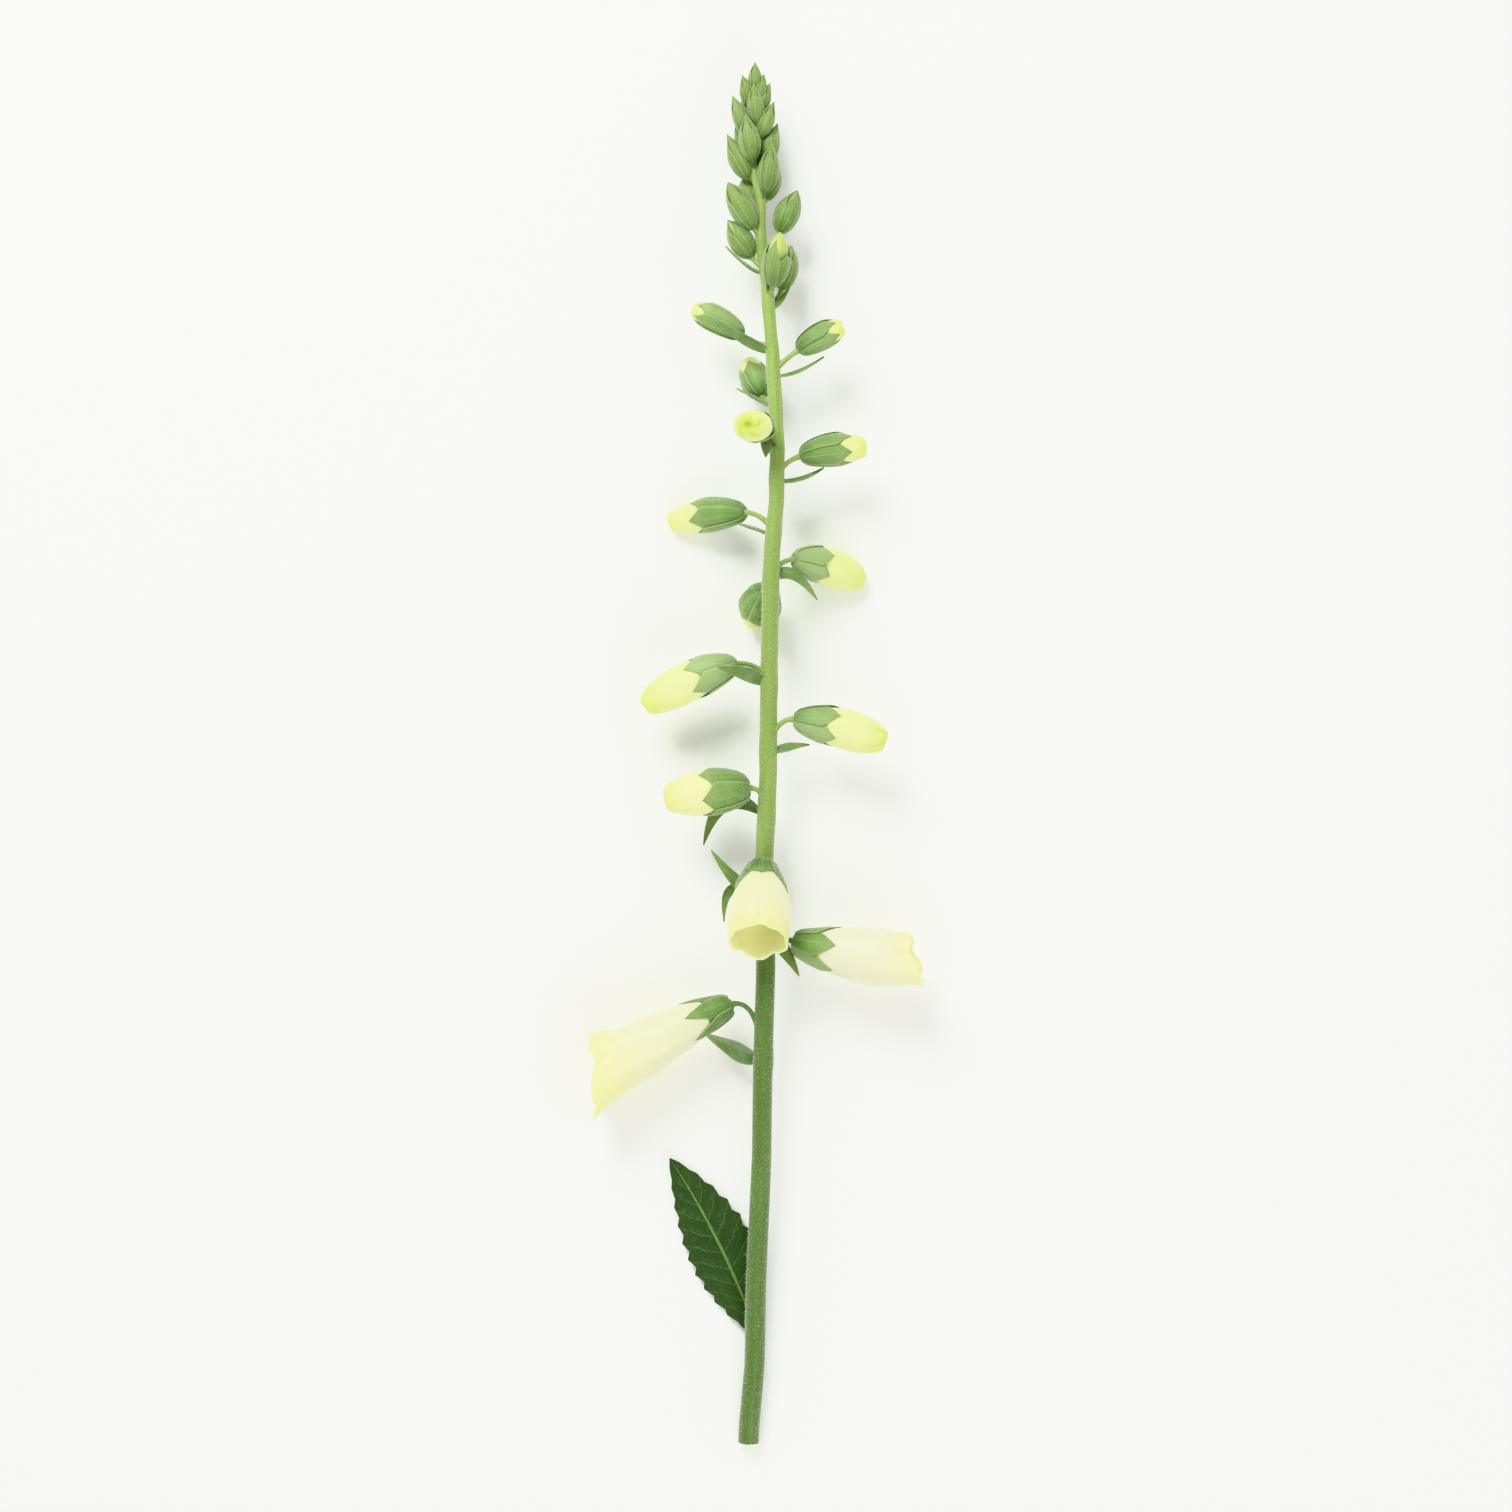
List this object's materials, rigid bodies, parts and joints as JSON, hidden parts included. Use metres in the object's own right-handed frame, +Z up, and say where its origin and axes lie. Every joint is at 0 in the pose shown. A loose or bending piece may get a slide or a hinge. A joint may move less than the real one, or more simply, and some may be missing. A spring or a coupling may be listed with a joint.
{
  "type": "foxglove flower spike",
  "caption": "Cut foxglove flower spike lying on its back: green stem with a toothed leaf, nodding cream bells, half-open yellow buds and a tip of closed green buds.",
  "frame": {"origin": "middle of the spike's outline from above, on the surface that it lies on", "axes": "+Y along the stem from its cut end to its tip, +Z up to the side that faced the viewer, +X to the right"},
  "size_m": [0.0952, 0.3949, 0.0407],
  "materials": {
    "stem_green": "fresh bright green, satin with fine pale hairs",
    "leaf_green": "dark green, matte, with a paler net of veins",
    "petals_cream": "cream white, thin and soft, satin",
    "petals_yellow": "pale lime yellow, thin and soft, satin",
    "stamens_yellow": "pale yellow, matte",
    "pistil_green": "pale green, satin"
  },
  "bodies": {
    "root": {"stem": "stem_green", "stem_leaf": "leaf_green", "petals_01": "petals_cream", "stamens_01": "stamens_yellow", "pistil_01": "pistil_green", "petals_02": "petals_cream", "stamens_02": "stamens_yellow", "pistil_02": "pistil_green", "petals_03": "petals_cream", "stamens_03": "stamens_yellow", "pistil_03": "pistil_green", "petals_04": "petals_cream", "petals_05": "petals_cream", "petals_06": "petals_yellow", "petals_07": "petals_yellow", "petals_08": "petals_yellow", "petals_09": "petals_yellow", "petals_10": "petals_yellow", "petals_11": "petals_yellow", "petals_12": "petals_yellow", "petals_13": "petals_yellow", "petals_14": "petals_yellow"}
  },
  "joints": []
}
